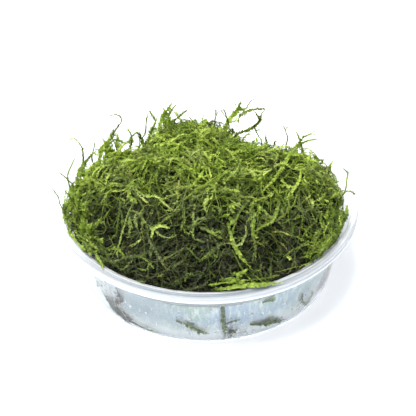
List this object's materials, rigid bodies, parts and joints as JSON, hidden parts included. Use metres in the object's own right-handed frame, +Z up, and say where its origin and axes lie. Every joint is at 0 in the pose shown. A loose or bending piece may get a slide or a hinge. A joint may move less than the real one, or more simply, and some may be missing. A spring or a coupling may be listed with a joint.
{
  "type": "moss clump in a round plastic tub",
  "caption": "Tangled clump of green water moss heaped above the rim of a low round translucent plastic tub, with loose shoots on top and scraps of moss on the inside of the wall.",
  "frame": {"origin": "on the surface the tub stands on, under the tub's centre", "axes": "+Z up along the tub's axis; -Y is the side seen from the front, +X to its right"},
  "size_m": [0.118, 0.118, 0.0539],
  "materials": {
    "tub_plastic": "hazy translucent moulded plastic, glossy rim",
    "moss": "damp leafy moss, dark green between yellow-green tips",
    "fresh_moss": "fresh yellow-green shoots",
    "wet_scraps": "wet dark green scraps"
  },
  "bodies": {
    "root": {"tub": "tub_plastic", "moss_mat": "moss", "lying_shoot_1": "fresh_moss", "lying_shoot_2": "moss", "lying_shoot_3": "moss", "lying_shoot_4": "moss", "lying_shoot_5": "fresh_moss", "lying_shoot_6": "moss", "lying_shoot_7": "moss", "lying_shoot_8": "moss", "wall_sprig_1": "wet_scraps", "wall_sprig_2": "wet_scraps", "wall_sprig_3": "wet_scraps", "wall_sprig_4": "wet_scraps", "wall_sprig_5": "wet_scraps", "wall_sprig_6": "wet_scraps", "wall_sprig_7": "wet_scraps", "wall_sprig_8": "wet_scraps", "wall_sprig_9": "wet_scraps"}
  },
  "joints": []
}
